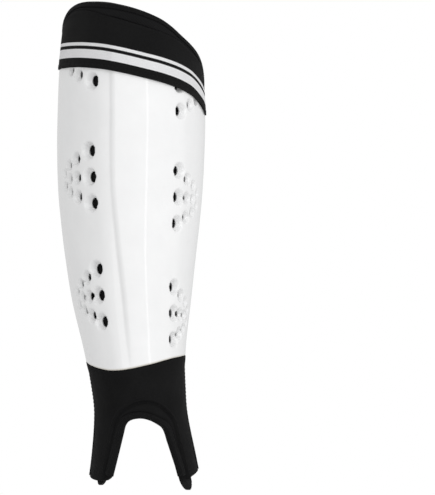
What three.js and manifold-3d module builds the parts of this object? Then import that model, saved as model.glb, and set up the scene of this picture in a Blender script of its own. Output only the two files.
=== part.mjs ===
// Field hockey shin guard for a right leg, standing upright as it is worn.
// Millimetres, +Z up. The front faces -Y, the hollow for the leg opens towards +Y, and the outer side
// of the leg is at -X. The origin is on the liner's inner face, on the shin line, halfway up the shell.
//
// Every piece follows one leg form: at each height its outline is three tangent arcs on each side of
// the shin line. A place on the form is a side angle (the way that the wall faces, 0 at the shin and
// negative on the outer side of the leg), a height, and an offset out of the shell's outer face.

import * as THREE from "three";
import { mergeVertices } from "three/addons/utils/BufferGeometryUtils.js";
import Module from "manifold-3d";

const wasm = await Module();
wasm.setup();

// Wall thicknesses and the clearance between pieces that are sewn or glued together
const CLEARANCE = 0.4;
const SHELL_WALL = 3.5;
const LINER_WALL = 5;
const BAND_WALL = 1;
const SOCK_WALL = 4.5;
const TAPE_WALL = 0.9;

// How pieces lap
const SOCK_RECESS = 0.6; // sock's outer face below the shell's outer face
const SOCK_TONGUE = 9; // sock sewn behind the shell's bottom edge
const COLLAR_LAP = 12; // cuff band over the padded collar
const COLLAR_RECESS = 0.3; // collar's outer face below the shell's outer face
const COLLAR_TAPE = 3;
const LEDGE_STEP = 1; // collar's ledge from its outer to its inner face
const SOCK_TAPE = 4;
const TAPE_LEAF = 2; // tapes' reach on the inner faces
const TAPE_SHORT = 1; // rear tapes short of the sock's jog and of the leg's end

// Section of the leg form, in shares of its half width: front arc, knuckle and side arc
const FRONT = { radius: 1.4, until: 10 };
const KNUCKLE = { radius: 0.46, until: 38 };

// Leg form by height: middle and half width from the front, and the shin line's place from the side
const LEG_FORM = [
  { z: -222, middle: 12.2, half: 48.2, crest: -27 },
  { z: -193, middle: 11.2, half: 43.4, crest: -22 },
  { z: -160, middle: 8.9, half: 38.8, crest: -16.5 },
  { z: -142, middle: 7.3, half: 38.7, crest: -14 },
  { z: -108, middle: 3.8, half: 41.7, crest: -11.2 },
  { z: -67, middle: 1.1, half: 48.8, crest: -9.6 },
  { z: -29, middle: 0.1, half: 53.9, crest: -9 },
  { z: 0, middle: 0, half: 57.3, crest: -8.9 },
  { z: 25, middle: 0, half: 59.5, crest: -9 },
  { z: 60, middle: 0.4, half: 60.8, crest: -9.3 },
  { z: 86, middle: 0.8, half: 60.8, crest: -9.7 },
  { z: 123, middle: 0.4, half: 59, crest: -10.4 },
  { z: 148, middle: 1.3, half: 57.5, crest: -11 },
  { z: 180, middle: 3.4, half: 55.8, crest: -11.5 },
];

// How far round the leg the rear edges stand
const REAR_EDGE = [
  { z: -222, angle: 86 },
  { z: -168, angle: 87 },
  { z: -118, angle: 97 },
  { z: 180, angle: 97 },
];

// Edges that run round the leg: height by girth, the way round from the shin line in half widths
const SHELL_BOTTOM = [
  { girth: -1.95, z: -115 },
  { girth: -1.3, z: -119.6 },
  { girth: -0.79, z: -122.8 },
  { girth: -0.54, z: -123.6 },
  { girth: -0.2, z: -122.6 },
  { girth: 0.34, z: -118 },
  { girth: 0.67, z: -115.2 },
  { girth: 1.02, z: -113 },
  { girth: 1.95, z: -110.5 },
];
const BAND_BOTTOM = [
  { girth: -1.95, z: 123.4 },
  { girth: -1.1, z: 125.2 },
  { girth: -0.68, z: 125 },
  { girth: -0.28, z: 122.7 },
  { girth: 0.37, z: 113.7 },
  { girth: 0.67, z: 109.3 },
  { girth: 0.84, z: 106.4 },
  { girth: 1.08, z: 101.5 },
  { girth: 1.48, z: 90.4 },
  { girth: 1.66, z: 86.6 },
  { girth: 1.95, z: 86.6 },
];
const BAND_TOP = [
  { girth: -1.95, z: 152.5 },
  { girth: -1.57, z: 161.5 },
  { girth: -1.3, z: 168.4 },
  { girth: -1.1, z: 171.4 },
  { girth: -0.8, z: 172.4 },
  { girth: -0.57, z: 170.4 },
  { girth: -0.2, z: 164.9 },
  { girth: 0.24, z: 157.2 },
  { girth: 0.53, z: 152.2 },
  { girth: 0.77, z: 147 },
  { girth: 1.02, z: 139.8 },
  { girth: 1.38, z: 129.8 },
  { girth: 1.95, z: 108 },
];
const COLLAR_TOP = [
  { girth: -1.95, z: 157.5 },
  { girth: -1.6, z: 165.5 },
  { girth: -1.3, z: 173.1 },
  { girth: -1.05, z: 177 },
  { girth: -0.83, z: 178.1 },
  { girth: -0.4, z: 177.1 },
  { girth: 0, z: 172.7 },
  { girth: 0.37, z: 165.4 },
  { girth: 0.59, z: 159.2 },
  { girth: 0.85, z: 150.5 },
  { girth: 1.38, z: 134.6 },
  { girth: 1.95, z: 113 },
];
const SOCK_BOTTOM = [
  { girth: -1.78, z: -208.8 },
  { girth: -1.27, z: -213.2 },
  { girth: -0.9, z: -213.5 },
  { girth: -0.65, z: -210 },
  { girth: 0.65, z: -210 },
  { girth: 0.9, z: -213 },
  { girth: 1.2, z: -209.8 },
  { girth: 1.78, z: -203.5 },
];

// Raised panel down the front of the shell: a crease on its left and a sharp shoulder on its right, as
// shares of the half width
const PANEL = [
  { z: -124, leftFoot: -0.13, rightShoulder: 0.278, rise: 0.4 },
  { z: -98, leftFoot: -0.14, rightShoulder: 0.29, rise: 1.2 },
  { z: -66, leftFoot: -0.148, rightShoulder: 0.256, rise: 2.2 },
  { z: -20, leftFoot: -0.208, rightShoulder: 0.22, rise: 2.2 },
  { z: 33, leftFoot: -0.272, rightShoulder: 0.221, rise: 2.2 },
  { z: 180, leftFoot: -0.29, rightShoulder: 0.223, rise: 2.2 },
];
const PANEL_FLANK = 5; // left flank, from its foot to its shoulder
const PANEL_SLOPE = 14; // right flank, from its shoulder to its foot

// Vents: one graded cluster, set at three heights on each side. Its columns go away from the shin, their
// places are shares of the half width, and it leans so far round the leg for each step up.
const VENT_COLUMNS = [
  { step: 0, heights: [-21.6, 0, 21.6], diameter: 9.4 },
  { step: 1, heights: [-16.5, -0.9, 14.7], diameter: 7.2 },
  { step: 2, heights: [-12.6, -1.6, 9.4], diameter: 5.6 },
  { step: 3, heights: [-7.6, 3], diameter: 4.6 },
];
const VENT_CLUSTERS = [
  { side: -1, z: 135.6, size: 0.97, lean: 0, shares: [0.54, 0.727, 0.827, 0.887] },
  { side: -1, z: 35.3, size: 0.97, lean: -0.046, shares: [0.561, 0.735, 0.832, 0.894] },
  { side: -1, z: -61.8, size: 0.94, lean: 0.025, shares: [0.55, 0.706, 0.812, 0.884] },
  { side: 1, z: 111, size: 0.86, lean: 0, shares: [0.677, 0.805, 0.885, 0.935] },
  { side: 1, z: 18.8, size: 0.86, lean: -0.03, shares: [0.676, 0.79, 0.87, 0.925] },
  { side: 1, z: -76.5, size: 0.86, lean: -0.1, shares: [0.735, 0.84, 0.91, 0.955] },
];
const VENT_FLARE = 1.12; // mouth of a vent over its throat
const VENT_SIDES = 8;
const VENT_OVERCUT = 1; // cutter behind the shell's inner face

// Stirrup legs: the arch between them from the front, and the strap tabs sewn inside their ends
const ARCH = {
  leftFoot: [-26.5, -240],
  leftSpring: [-8.2, -171.5],
  leftCorner: [-5.4, -161.8],
  crown: [8, -161.5],
  crownBend: [14.2, -161.5],
  rightSlope: [21.4, -165],
  rightShoulder: [27.2, -167.6],
  rightCorner: [31.8, -169.8],
  rightSpring: [34, -179],
  rightBend: [41.8, -201.5],
  rightFoot: [52.7, -240],
};
const ARCH_STEPS = 36;
const TAB = { width: 25, wall: 2, corner: 12, clearance: 2.9, root: -194 };
const TABS = [
  { name: "strap_tab_left", angle: -70, end: -217.5 },
  { name: "strap_tab_right", angle: 67, end: -221.5 },
];

// Facets
const COLUMNS = { wall: 8, flank: 2, panel: 3 };
const SHELL_ROWS = 12;
const BAND_ROWS = 4;
const LINER_ROWS = 10;
const COLLAR_ROWS = 2;
const SOCK_ROWS = 9;
const REAR_TAPE_STEPS = 8;

const MATERIALS = {
  shell: { color: 0xf2f2f2, roughness: 0.22, metalness: 0 },
  knit: { color: 0x1b1b1b, roughness: 0.85, metalness: 0 },
  foam: { color: 0x202020, roughness: 0.9, metalness: 0 },
  neoprene: { color: 0x1c1c1c, roughness: 0.8, metalness: 0 },
  tape: { color: 0x161616, roughness: 0.75, metalness: 0 },
  elastic: { color: 0x232323, roughness: 0.8, metalness: 0 },
};

const radians = THREE.MathUtils.degToRad;
const degrees = THREE.MathUtils.radToDeg;
const mix = THREE.MathUtils.lerp;

// A smooth curve through a table's rows: the value of one column at a place in another.
function through(rows, along, column) {
  const slope = (a, b) => (rows[b][column] - rows[a][column]) / (rows[b][along] - rows[a][along]);
  const last = rows.length - 1;
  const slopes = rows.map((row, i) => slope(Math.max(i - 1, 0), Math.min(i + 1, last)));
  return (place) => {
    const at = THREE.MathUtils.clamp(place, rows[0][along], rows[last][along]);
    const next = Math.max(1, rows.findIndex((row) => row[along] >= at));
    const from = rows[next - 1];
    const to = rows[next];
    const span = to[along] - from[along];
    const t = (at - from[along]) / span;
    const rise = to[column] - from[column];
    const bend = slopes[next - 1] * span - rise;
    const sway = rise - slopes[next] * span;
    return from[column] + rise * t + t * (1 - t) * (bend * (1 - t) + sway * t);
  };
}

const middleAt = through(LEG_FORM, "z", "middle");
const halfAt = through(LEG_FORM, "z", "half");
const crestAt = through(LEG_FORM, "z", "crest");
const rearAngleAt = through(REAR_EDGE, "z", "angle");
const panelLeftAt = through(PANEL, "z", "leftFoot");
const panelRightAt = through(PANEL, "z", "rightShoulder");
const panelRiseAt = through(PANEL, "z", "rise");

// The section's arcs for a unit half width, each with its radius, its last angle and its centre.
function sectionArcs() {
  const sine = (arc) => Math.sin(radians(arc.until));
  const cosine = (arc) => Math.cos(radians(arc.until));
  const reach = FRONT.radius * sine(FRONT) + KNUCKLE.radius * (sine(KNUCKLE) - sine(FRONT));
  const side = { radius: (1 - reach) / (1 - sine(KNUCKLE)), until: 180 };
  const arcs = [FRONT, KNUCKLE, side];
  let x = 0;
  let y = FRONT.radius;
  return arcs.map((arc, i) => {
    if (i > 0) {
      const before = arcs[i - 1];
      x += (before.radius - arc.radius) * sine(before);
      y -= (before.radius - arc.radius) * cosine(before);
    }
    return { radius: arc.radius, until: arc.until, x, y };
  });
}
const ARCS = sectionArcs();
const SIDE_ARC = ARCS[2];

// The way round the leg from the shin line to a side angle, in half widths
function girthAt(angle) {
  const turn = Math.abs(angle);
  let girth = 0;
  let from = 0;
  for (const arc of ARCS) {
    girth += arc.radius * radians(Math.max(0, Math.min(turn, arc.until) - from));
    from = arc.until;
  }
  return Math.sign(angle) * girth;
}

function edgeOf(rows) {
  const heightAt = through(rows, "girth", "z");
  return (angle) => heightAt(girthAt(angle));
}

const shellBottomAt = edgeOf(SHELL_BOTTOM);
const bandBottomAt = edgeOf(BAND_BOTTOM);
const bandTopAt = edgeOf(BAND_TOP);
const collarTopAt = edgeOf(COLLAR_TOP);
const sockBottomAt = edgeOf(SOCK_BOTTOM);
const shellTopAt = (angle) => bandTopAt(angle) - COLLAR_LAP;

// A point of the leg form from its side angle in degrees, height, and offset out of the shell's outer face.
function wallPoint(angle, z, offset) {
  const arc = ARCS.find((a) => Math.abs(angle) <= a.until);
  const turn = radians(angle);
  const half = halfAt(z);
  const radius = half * arc.radius + offset;
  const x = middleAt(z) + Math.sign(angle) * half * arc.x + radius * Math.sin(turn);
  const y = crestAt(z) + half * arc.y - radius * Math.cos(turn);
  return new THREE.Vector3(x, y, z);
}

// The side angle where the form, at an offset, stands at x as seen from the front.
function angleAtFront(x, z, offset) {
  const half = halfAt(z);
  const across = x - middleAt(z);
  const fits = (arc) => {
    const sine = (Math.abs(across) - half * arc.x) / (half * arc.radius + offset);
    return degrees(Math.asin(THREE.MathUtils.clamp(sine, -1, 1)));
  };
  const arc = ARCS.find((a) => fits(a) <= a.until);
  return Math.sign(across) * fits(arc);
}

const frontPoint = (x, z, offset) => wallPoint(angleAtFront(x, z, offset), z, offset);
const angleAtShare = (share, z) => angleAtFront(middleAt(z) + share * halfAt(z), z, 0);

// The columns of every wall at a height, from the outer rear edge to the inner one: side angle, and
// how much of the front panel's rise they stand on.
function columnsAt(z) {
  const rear = rearAngleAt(z);
  const half = halfAt(z);
  const leftFoot = angleAtShare(panelLeftAt(z), z);
  const leftShoulder = angleAtShare(panelLeftAt(z) + PANEL_FLANK / half, z);
  const rightShoulder = angleAtShare(panelRightAt(z), z);
  const rightFoot = angleAtShare(panelRightAt(z) + PANEL_SLOPE / half, z);
  const columns = [{ angle: -rear, rise: 0 }];
  const add = (from, to, count, riseAt) => {
    for (let i = 1; i <= count; i++) {
      columns.push({ angle: mix(from, to, i / count), rise: riseAt(i / count) });
    }
  };
  add(-rear, leftFoot, COLUMNS.wall, () => 0);
  add(leftFoot, leftShoulder, COLUMNS.flank, (t) => 1 - (1 - t) ** 2);
  add(leftShoulder, rightShoulder, COLUMNS.panel, () => 1);
  add(rightShoulder, rightFoot, COLUMNS.flank, (t) => (1 - t) ** 2);
  add(rightFoot, rear, COLUMNS.wall, () => 0);
  return columns;
}
const COLUMN_COUNT = columnsAt(0).length;

function geometryOf(points, triangles) {
  const geometry = new THREE.BufferGeometry();
  geometry.setFromPoints(points);
  geometry.setIndex(triangles);
  return geometry;
}

// A closed wall between two faces, each a grid of points given row by row from bottom to top.
function wallBetween(outerRows, innerRows) {
  const width = outerRows[0].length;
  const height = outerRows.length;
  const points = [...outerRows.flat(), ...innerRows.flat()];
  const triangles = [];
  const outer = (row, column) => row * width + column;
  const inner = (row, column) => (height + row) * width + column;
  const quad = (a, b, c, d) => triangles.push(a, b, c, a, c, d);
  for (let r = 0; r + 1 < height; r++) {
    for (let c = 0; c + 1 < width; c++) {
      quad(outer(r, c), outer(r, c + 1), outer(r + 1, c + 1), outer(r + 1, c));
      quad(inner(r, c), inner(r + 1, c), inner(r + 1, c + 1), inner(r, c + 1));
    }
    quad(outer(r, 0), outer(r + 1, 0), inner(r + 1, 0), inner(r, 0));
    quad(outer(r, width - 1), inner(r, width - 1), inner(r + 1, width - 1), outer(r + 1, width - 1));
  }
  for (let c = 0; c + 1 < width; c++) {
    quad(outer(0, c), inner(0, c), inner(0, c + 1), outer(0, c + 1));
    quad(outer(height - 1, c), outer(height - 1, c + 1), inner(height - 1, c + 1), inner(height - 1, c));
  }
  return geometryOf(points, triangles);
}

// Rows of points between two edges that run round the leg. The offset may follow the front panel's rise.
function rowsBetween(bottomAt, topAt, count, offsetAt) {
  const rows = [];
  for (let r = 0; r <= count; r++) {
    const share = r / count;
    const shinHeight = mix(bottomAt(0), topAt(0), share);
    rows.push(
      columnsAt(shinHeight).map((column) => {
        const z = mix(bottomAt(column.angle), topAt(column.angle), share);
        return wallPoint(column.angle, z, offsetAt(column.rise * panelRiseAt(z), share));
      }),
    );
  }
  return rows;
}

// A closed solid of a profile carried along a path: pointAt places the profile's point [a, b] at a step.
function sweptAlong(steps, profile, pointAt) {
  const size = profile.length;
  const points = [];
  const triangles = [];
  for (let s = 0; s <= steps; s++) {
    points.push(...profile.map(([a, b]) => pointAt(s, a, b)));
  }
  for (let s = 0; s < steps; s++) {
    for (let k = 0; k < size; k++) {
      const here = s * size + k;
      const next = s * size + ((k + 1) % size);
      triangles.push(here, next, next + size, here, next + size, here + size);
    }
  }
  const corners = profile.map(([a, b]) => new THREE.Vector2(a, b));
  for (const [a, b, c] of THREE.ShapeUtils.triangulateShape(corners, [])) {
    triangles.push(a, c, b);
    triangles.push(steps * size + a, steps * size + b, steps * size + c);
  }
  return geometryOf(points, triangles);
}

// A folded tape over the edge of a wall between two offsets, wider on the outer face than on the inner one.
function tapeProfile(width, outerFace, innerFace) {
  const top = outerFace + CLEARANCE;
  const under = innerFace - CLEARANCE;
  return [
    [width, top],
    [width, top + TAPE_WALL],
    [-CLEARANCE - TAPE_WALL, top + TAPE_WALL],
    [-CLEARANCE - TAPE_WALL, under - TAPE_WALL],
    [TAPE_LEAF, under - TAPE_WALL],
    [TAPE_LEAF, under],
    [-CLEARANCE, under],
    [-CLEARANCE, top],
  ];
}

function solidOf(geometry) {
  const bare = geometry.clone();
  bare.deleteAttribute("normal");
  bare.deleteAttribute("uv");
  const merged = mergeVertices(bare);
  const vertProperties = new Float32Array(merged.attributes.position.array);
  const triVerts = new Uint32Array(merged.index.array);
  return new wasm.Manifold(new wasm.Mesh({ numProp: 3, vertProperties, triVerts }));
}

function cut(geometry, cutters) {
  let solid = solidOf(geometry);
  for (const cutter of cutters) {
    solid = solid.subtract(solidOf(cutter));
  }
  const { vertProperties, triVerts } = solid.getMesh();
  const made = new THREE.BufferGeometry();
  made.setAttribute("position", new THREE.BufferAttribute(vertProperties, 3));
  made.setIndex(new THREE.BufferAttribute(triVerts, 1));
  return made;
}

// The vents that the cuff band doesn't cover all over: side angle, height and diameter.
function ventPlaces() {
  const places = [];
  for (const cluster of VENT_CLUSTERS) {
    for (const column of VENT_COLUMNS) {
      for (const height of column.heights) {
        const z = cluster.z + height;
        const lean = degrees((cluster.lean * height) / (halfAt(z) * SIDE_ARC.radius));
        const angle = angleAtShare(cluster.side * cluster.shares[column.step], z) + lean;
        const diameter = cluster.size * column.diameter;
        if (z < bandBottomAt(angle) + diameter / 2) {
          places.push({ angle, z, diameter });
        }
      }
    }
  }
  return places;
}

// A flared cutter through the shell's wall, along the way that the wall faces.
function ventCutter({ angle, z, diameter }) {
  const throat = diameter / 2;
  const length = 3 * SHELL_WALL;
  const mouth = throat * (1 + (VENT_FLARE - 1) * (length / SHELL_WALL));
  const cutter = new THREE.CylinderGeometry(mouth, throat, length, VENT_SIDES);
  const outward = new THREE.Vector3(Math.sin(radians(angle)), -Math.cos(radians(angle)), 0);
  cutter.translate(0, length / 2, 0);
  cutter.applyQuaternion(new THREE.Quaternion().setFromUnitVectors(new THREE.Vector3(0, 1, 0), outward));
  const seat = wallPoint(angle, z, -SHELL_WALL - VENT_OVERCUT);
  return cutter.translate(seat.x, seat.y, seat.z);
}

function shellGeometry() {
  const outer = rowsBetween(shellBottomAt, shellTopAt, SHELL_ROWS, (rise) => rise);
  const inner = rowsBetween(shellBottomAt, shellTopAt, SHELL_ROWS, () => -SHELL_WALL);
  return cut(wallBetween(outer, inner), ventPlaces().map(ventCutter));
}

// Stretch band round the shell's top edge and the collar's foot
function bandGeometry() {
  const outer = rowsBetween(bandBottomAt, bandTopAt, BAND_ROWS, (rise) => rise + CLEARANCE + BAND_WALL);
  const inner = rowsBetween(bandBottomAt, bandTopAt, BAND_ROWS, (rise) => rise + CLEARANCE);
  return wallBetween(outer, inner);
}

// Foam behind the shell, from the sock's tongue up, with a thicker collar on the shell's top edge
const LINER_OUTER = -SHELL_WALL - CLEARANCE;
const LINER_INNER = LINER_OUTER - LINER_WALL;

function linerGeometry() {
  const bottomAt = (angle) => shellBottomAt(angle) + SOCK_TONGUE + CLEARANCE;
  const ledgeAt = (angle) => shellTopAt(angle) + CLEARANCE;
  const under = (offset) => rowsBetween(bottomAt, ledgeAt, LINER_ROWS, () => offset);
  const over = (offset) => rowsBetween(ledgeAt, collarTopAt, COLLAR_ROWS, () => offset);
  const outer = [...under(LINER_OUTER), ...over(-COLLAR_RECESS)];
  const ledgeRow = rowsBetween((angle) => ledgeAt(angle) + LEDGE_STEP, collarTopAt, 1, () => LINER_INNER)[0];
  const inner = [...under(LINER_INNER), ledgeRow, ...over(LINER_INNER).slice(1)];
  return wallBetween(outer, inner);
}

function collarTapeGeometry() {
  const angles = columnsAt(collarTopAt(0)).map((column) => column.angle).reverse();
  const profile = tapeProfile(COLLAR_TAPE, -COLLAR_RECESS, LINER_INNER);
  const pointAt = (step, a, b) => wallPoint(angles[step], collarTopAt(angles[step]) - a, b);
  return sweptAlong(COLUMN_COUNT - 1, profile, pointAt);
}

// Neoprene sock: its tongue behind the shell, then flush with the shell down to the stirrup legs
const SOCK_OUTER = -SOCK_RECESS;
const SOCK_INNER = SOCK_OUTER - SOCK_WALL;
const TONGUE_INNER = LINER_OUTER - SOCK_WALL;
const SOCK_JOG = { rows: -10, from: -5, to: -1 }; // where the inner face steps in, from the shell's edge

function sockGeometry() {
  const shoulderAt = (angle) => shellBottomAt(angle) - CLEARANCE;
  const tongueAt = (angle) => shellBottomAt(angle) + SOCK_TONGUE;
  const above = (step) => (angle) => shoulderAt(angle) + step;
  const below = (offset) => rowsBetween(sockBottomAt, above(SOCK_JOG.rows), SOCK_ROWS, () => offset);
  const ring = (heightAt, offset) => rowsBetween(heightAt, tongueAt, 1, () => offset)[0];
  const outer = [
    ...below(SOCK_OUTER),
    ring(above(0), SOCK_OUTER),
    ring(above(0), LINER_OUTER),
    ring(tongueAt, LINER_OUTER),
  ];
  const inner = [
    ...below(SOCK_INNER),
    ring(above(SOCK_JOG.from), SOCK_INNER),
    ring(above(SOCK_JOG.to), TONGUE_INNER),
    ring(tongueAt, TONGUE_INNER),
  ];
  return cut(wallBetween(outer, inner), [archCutter()]);
}

// The arch between the legs, as it is seen from the front
function archOutline() {
  const outline = new THREE.Shape();
  outline.moveTo(...ARCH.leftFoot);
  outline.lineTo(...ARCH.leftSpring);
  outline.quadraticCurveTo(...ARCH.leftCorner, ...ARCH.crown);
  outline.quadraticCurveTo(...ARCH.crownBend, ...ARCH.rightSlope);
  outline.lineTo(...ARCH.rightShoulder);
  outline.quadraticCurveTo(...ARCH.rightCorner, ...ARCH.rightSpring);
  outline.lineTo(...ARCH.rightBend);
  outline.lineTo(...ARCH.rightFoot);
  return outline;
}

function archCutter() {
  const reach = 100;
  const cutter = new THREE.ExtrudeGeometry(archOutline(), { depth: 2 * reach, bevelEnabled: false });
  return cutter.rotateX(Math.PI / 2).translate(0, reach, 0);
}

// Binding over the arch's edge, from one leg's end to the other
function archTapeGeometry() {
  const lowest = sockBottomAt(-50) + SOCK_TAPE;
  const edge = archOutline().getSpacedPoints(3 * ARCH_STEPS).filter((point) => point.y > lowest);
  const route = new THREE.CatmullRomCurve3(edge.map((point) => new THREE.Vector3(point.x, point.y, 0)));
  const stations = route.getSpacedPoints(ARCH_STEPS);
  const profile = tapeProfile(SOCK_TAPE, SOCK_OUTER, SOCK_INNER);
  const pointAt = (step, a, b) => {
    const before = stations[Math.max(step - 1, 0)];
    const after = stations[Math.min(step + 1, ARCH_STEPS)];
    const along = after.clone().sub(before).normalize();
    const place = stations[step];
    return frontPoint(place.x - a * along.y, place.y + a * along.x, b);
  };
  return sweptAlong(ARCH_STEPS, profile, pointAt);
}

// Binding over a leg's rear edge, from the shell's corner to the leg's end
function rearTapeGeometry(side) {
  const top = shellBottomAt(side * rearAngleAt(shellBottomAt(side * 90))) + SOCK_JOG.from - TAPE_SHORT;
  const bottom = sockBottomAt(side * 90) + TAPE_SHORT;
  const [from, to] = side > 0 ? [bottom, top] : [top, bottom];
  const profile = tapeProfile(SOCK_TAPE, SOCK_OUTER, SOCK_INNER);
  const pointAt = (step, a, b) => {
    const z = mix(from, to, step / REAR_TAPE_STEPS);
    const radius = halfAt(z) * SIDE_ARC.radius;
    return wallPoint(side * (rearAngleAt(z) - degrees(a / radius)), z, b);
  };
  return sweptAlong(REAR_TAPE_STEPS, profile, pointAt);
}

// A flat elastic tab with a rounded end, sewn inside a leg
function tabMesh({ name, angle, end }) {
  const face = SOCK_INNER - TAB.clearance - TAB.wall;
  const top = wallPoint(angle, TAB.root, face);
  const foot = wallPoint(angle, end, face);
  const up = top.clone().sub(foot).normalize();
  const across = new THREE.Vector3(Math.cos(radians(angle)), Math.sin(radians(angle)), 0);
  across.addScaledVector(up, -across.dot(up)).normalize();
  const outward = across.clone().cross(up);
  const half = TAB.width / 2;
  const strap = new THREE.Shape();
  strap.moveTo(half, top.distanceTo(foot));
  strap.lineTo(-half, top.distanceTo(foot));
  strap.lineTo(-half, TAB.corner);
  strap.absarc(-half + TAB.corner, TAB.corner, TAB.corner, Math.PI, 1.5 * Math.PI);
  strap.absarc(half - TAB.corner, TAB.corner, TAB.corner, 1.5 * Math.PI, 2 * Math.PI);
  const wall = { depth: TAB.wall, bevelEnabled: false, curveSegments: 6 };
  const geometry = new THREE.ExtrudeGeometry(strap, wall);
  const mesh = piece(name, geometry, MATERIALS.elastic);
  mesh.position.copy(foot);
  mesh.quaternion.setFromRotationMatrix(new THREE.Matrix4().makeBasis(across, up, outward));
  return mesh;
}

function piece(name, geometry, look) {
  const mesh = new THREE.Mesh(geometry, new THREE.MeshStandardMaterial(look));
  mesh.name = name;
  return mesh;
}

const guard = new THREE.Group();
guard.add(piece("shell", shellGeometry(), MATERIALS.shell));
guard.add(piece("cuff_band", bandGeometry(), MATERIALS.knit));
guard.add(piece("liner", linerGeometry(), MATERIALS.foam));
guard.add(piece("collar_tape", collarTapeGeometry(), MATERIALS.tape));
guard.add(piece("ankle_sock", sockGeometry(), MATERIALS.neoprene));
guard.add(piece("arch_tape", archTapeGeometry(), MATERIALS.tape));
guard.add(piece("rear_tape_left", rearTapeGeometry(-1), MATERIALS.tape));
guard.add(piece("rear_tape_right", rearTapeGeometry(1), MATERIALS.tape));
guard.add(...TABS.map(tabMesh));

export default guard;
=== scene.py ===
import bisect
import cmath
import math
from collections import namedtuple

import bmesh
import bpy
from mathutils import Matrix, Vector, noise


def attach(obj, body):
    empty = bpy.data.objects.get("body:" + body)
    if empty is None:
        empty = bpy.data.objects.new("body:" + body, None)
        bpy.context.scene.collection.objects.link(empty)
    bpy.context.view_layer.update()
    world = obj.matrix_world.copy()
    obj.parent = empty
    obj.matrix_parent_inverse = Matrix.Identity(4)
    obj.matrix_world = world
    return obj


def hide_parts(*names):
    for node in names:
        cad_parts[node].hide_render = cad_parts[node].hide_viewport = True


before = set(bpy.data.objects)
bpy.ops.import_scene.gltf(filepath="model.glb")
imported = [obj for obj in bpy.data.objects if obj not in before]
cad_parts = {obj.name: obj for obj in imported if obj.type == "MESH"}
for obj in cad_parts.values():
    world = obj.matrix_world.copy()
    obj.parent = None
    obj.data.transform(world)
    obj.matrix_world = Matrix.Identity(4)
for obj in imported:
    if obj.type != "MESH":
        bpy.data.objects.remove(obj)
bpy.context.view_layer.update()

# Shell: one white plastic moulding, 3.5 mm thick, shaped to the shin, with a raised panel down its front
# and clusters of vents through both sides. It is worked flat in millimetres, as a relief that faces -Y,
# then wrapped round the leg, as every other piece is, and turned into metres.
MM = 0.001
CYCLE = 2 * math.pi
SHELL_WALL = 3.5
SHELL_CELL = 1.35
RIM_ROUND = 1.2
# Painted shade and reflection: the cream grey given to the shell's rounded bottom rim, whose downward edge
# faces the dark sock.
PAINTED_RIM_SHADE = (0.62, 0.59, 0.53, 1)
VENT_LIP = 0.25
VENT_RING = 0.7
VENT_WALL = 1.6
DISH_REACH = 0.62
DISH_CURVE = 1.6
BAND_LAP = 12
PANEL_FLANK = 5
PANEL_SLOPE = 14
LEFT_RUN = 98.6
PANEL_RUN = 22
RIGHT_RUN = 89.9
FLANK_CELLS = 5
SLOPE_CELLS = 11
ROUNDING = 0.001

# The leg form: how wide the leg is at each height, and where its middle and its shin line lie.
Leg = namedtuple("Leg", "z middle half crest")
LEG_FORM = [
    Leg(-222, 12.2, 48.2, -27), Leg(-193, 11.2, 43.4, -22), Leg(-160, 8.9, 38.8, -16.5),
    Leg(-142, 7.3, 38.7, -14), Leg(-108, 3.8, 41.7, -11.2), Leg(-67, 1.1, 48.8, -9.6),
    Leg(-29, 0.1, 53.9, -9), Leg(0, 0, 57.3, -8.9), Leg(25, 0, 59.5, -9), Leg(60, 0.4, 60.8, -9.3),
    Leg(86, 0.8, 60.8, -9.7), Leg(123, 0.4, 59, -10.4), Leg(148, 1.3, 57.5, -11), Leg(180, 3.4, 55.8, -11.5),
]

# The leg's section, in half widths: a front arc, a tighter shoulder arc, and a side arc that reaches the
# half width. The angles are those of the section's normal, in degrees from the front.
FRONT_RADIUS = 1.4
FRONT_UNTIL = 10
SHOULDER_RADIUS = 0.46
SHOULDER_UNTIL = 38
SIDE_UNTIL = 180
Arc = namedtuple("Arc", "radius start until x y girth")


def arc_after(arc, radius, until):
    """The arc that carries on from another one without a corner."""
    angle = math.radians(arc.until)
    x = arc.x + (arc.radius - radius) * math.sin(angle)
    y = arc.y - (arc.radius - radius) * math.cos(angle)
    girth = arc.girth + arc.radius * math.radians(arc.until - arc.start)
    return Arc(radius, arc.until, until, x, y, girth)


FRONT_ARC = Arc(FRONT_RADIUS, 0, FRONT_UNTIL, 0, FRONT_RADIUS, 0)
SHOULDER_ARC = arc_after(FRONT_ARC, SHOULDER_RADIUS, SHOULDER_UNTIL)
SHOULDER_SINE = math.sin(math.radians(SHOULDER_UNTIL))
SIDE_RADIUS = (1 - SHOULDER_ARC.x - SHOULDER_RADIUS * SHOULDER_SINE) / (1 - SHOULDER_SINE)
SECTION = [FRONT_ARC, SHOULDER_ARC, arc_after(SHOULDER_ARC, SIDE_RADIUS, SIDE_UNTIL)]

# Edges that run round the leg: the girth from the shin line, in half widths, and the height there.
Edge = namedtuple("Edge", "girth z")
SHELL_BOTTOM = [
    Edge(-1.95, -115), Edge(-1.3, -119.6), Edge(-0.79, -122.8), Edge(-0.54, -123.6), Edge(-0.2, -122.6),
    Edge(0.34, -118), Edge(0.67, -115.2), Edge(1.02, -113), Edge(1.95, -110.5),
]
BAND_TOP = [
    Edge(-1.95, 152.5), Edge(-1.57, 161.5), Edge(-1.3, 168.4), Edge(-1.1, 171.4), Edge(-0.8, 172.4),
    Edge(-0.57, 170.4), Edge(-0.2, 164.9), Edge(0.24, 157.2), Edge(0.53, 152.2), Edge(0.77, 147),
    Edge(1.02, 139.8), Edge(1.38, 129.8), Edge(1.95, 108),
]
BAND_BOTTOM = [
    Edge(-1.95, 123.4), Edge(-1.1, 125.2), Edge(-0.68, 125), Edge(-0.28, 122.7), Edge(0.37, 113.7),
    Edge(0.67, 109.3), Edge(0.84, 106.4), Edge(1.08, 101.5), Edge(1.48, 90.4), Edge(1.66, 86.6),
    Edge(1.95, 86.6),
]
Rear = namedtuple("Rear", "z angle")
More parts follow.
